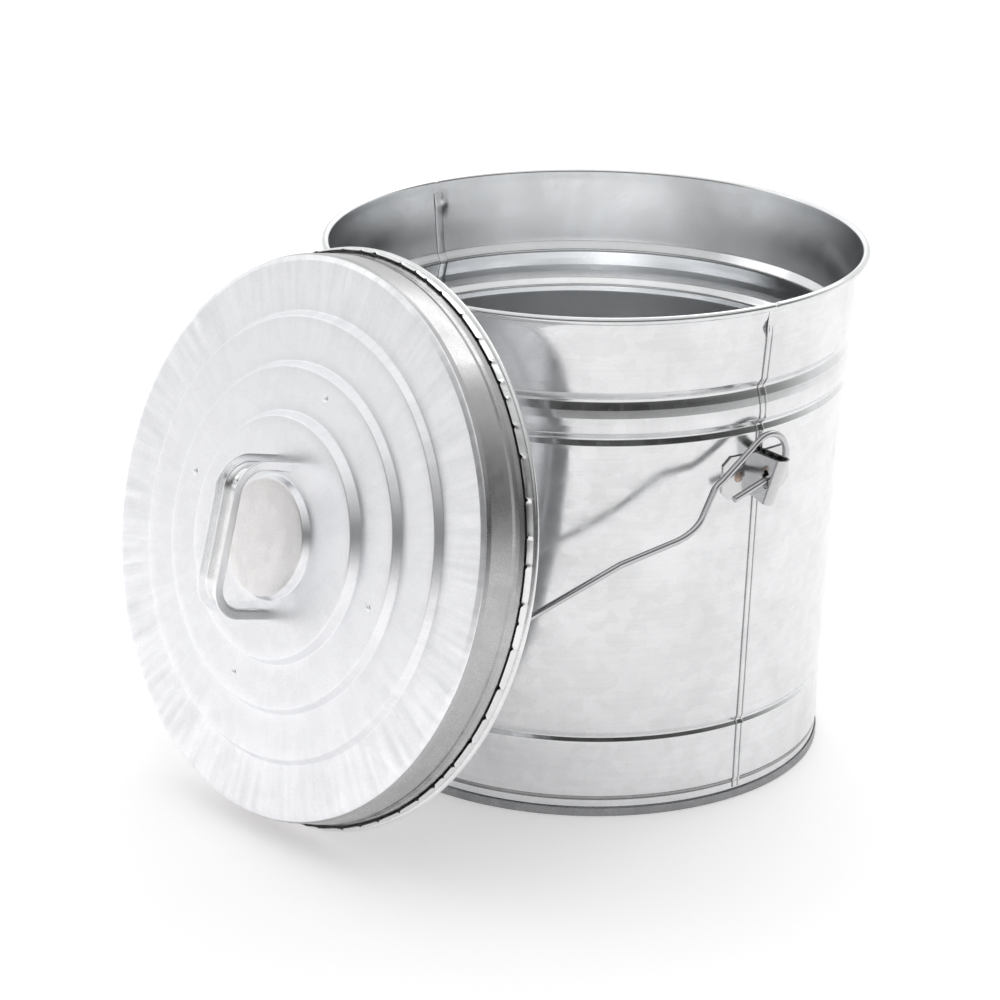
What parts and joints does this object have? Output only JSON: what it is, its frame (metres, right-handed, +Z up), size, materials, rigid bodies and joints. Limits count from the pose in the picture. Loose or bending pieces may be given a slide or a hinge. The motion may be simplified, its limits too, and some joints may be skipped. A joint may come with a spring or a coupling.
{
  "type": "oily waste can",
  "caption": "Galvanised steel pail for oily waste, with a wire bail in two riveted ears and a stepped lid with a strap handle leaning on its rim.",
  "frame": {"origin": "on the floor, under the middle of the pail", "axes": "+Z up the pail's centre line; X through the two ears and the side seams; the bail and the leaning lid are on the -Y side"},
  "size_m": [0.3612, 0.453, 0.331],
  "materials": {
    "body_sheet": "galvanised, satin, faint spangle",
    "bottom_sheet": "galvanised, dull",
    "rim_core": "drawn wire inside the rolled rim",
    "ear_sheet": "bright zinc plate",
    "rivet_steel": "dull, slightly brown",
    "bail_steel": "bright drawn wire",
    "lid_sheet": "galvanised, matte, with radial draw marks",
    "handle_steel": "galvanised, satin"
  },
  "bodies": {
    "can": {"shell_front": "body_sheet", "shell_rear": "body_sheet", "bottom_plate": "bottom_sheet", "rim_wire": "rim_core", "ear_right": "ear_sheet", "ear_left": "ear_sheet", "ear_rivets_right": "rivet_steel", "ear_rivets_left": "rivet_steel"},
    "bail": {"bail_wire": "bail_steel"},
    "lid": {"lid_shell": "lid_sheet", "lid_handle": "handle_steel"}
  },
  "joints": [
    {"name": "bail_swing", "type": "hinge", "parent": "can", "child": "bail", "pos_m": [0, -0.003, 0.2232], "axis": [-1, 0, 0], "range_deg": [0, 238.6]},
    {"name": "lid_away", "type": "slide", "parent": "can", "child": "lid", "axis": [0.0591, -0.9663, 0.2504], "range_m": [0, 0.42]}
  ],
  "couplings": [
    {"joint": "lid_away", "follows": "bail_swing", "m_per_rad": 0.1}
  ]
}
